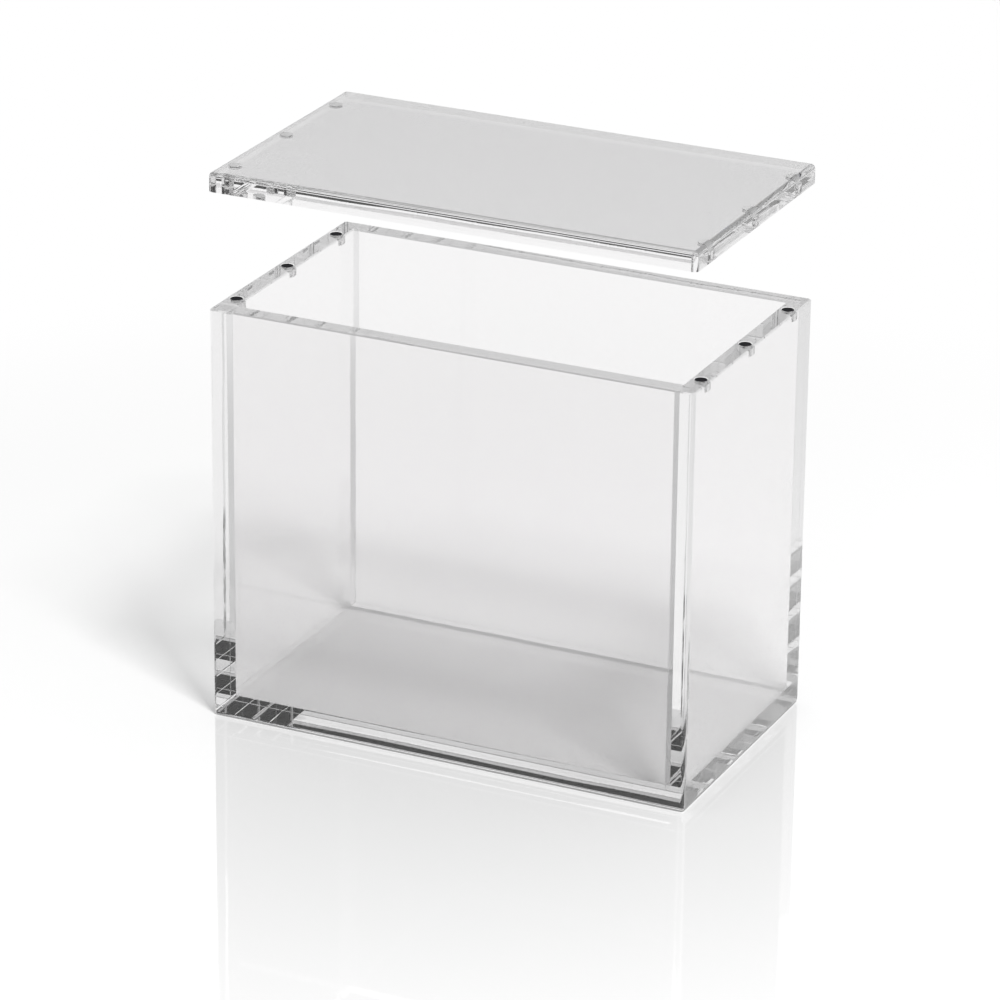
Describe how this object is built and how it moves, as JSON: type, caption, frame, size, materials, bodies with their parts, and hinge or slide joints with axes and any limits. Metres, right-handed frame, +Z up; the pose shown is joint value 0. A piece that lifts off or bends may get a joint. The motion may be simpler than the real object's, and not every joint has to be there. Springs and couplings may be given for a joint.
{
  "type": "acrylic display case",
  "caption": "Clear acrylic display case for a sealed booster box: bonded flat panels, an open top and a flat lift-off lid that small disc magnets hold down.",
  "frame": {"origin": "middle of the base plate's underside, on the surface the case stands on", "axes": "+Z up towards the lid, -Y out of the front wall, +X towards the right wall"},
  "size_m": [0.158, 0.09, 0.176],
  "materials": {
    "clear_acrylic": "polished",
    "nickel_plate": "polished"
  },
  "bodies": {
    "case": {"base_plate": "clear_acrylic", "left_wall": "clear_acrylic", "right_wall": "clear_acrylic", "front_wall": "clear_acrylic", "back_wall": "clear_acrylic", "case_magnet_left_front": "nickel_plate", "case_magnet_left_middle": "nickel_plate", "case_magnet_left_back": "nickel_plate", "case_magnet_right_front": "nickel_plate", "case_magnet_right_middle": "nickel_plate", "case_magnet_right_back": "nickel_plate"},
    "lid": {"lid_plate": "clear_acrylic", "lid_magnet_left_front": "nickel_plate", "lid_magnet_left_middle": "nickel_plate", "lid_magnet_left_back": "nickel_plate", "lid_magnet_right_front": "nickel_plate", "lid_magnet_right_middle": "nickel_plate", "lid_magnet_right_back": "nickel_plate"}
  },
  "joints": [
    {"name": "lid_lift", "type": "slide", "parent": "case", "child": "lid", "axis": [0, 0, 1], "range_m": [-0.037, 0.103]}
  ]
}
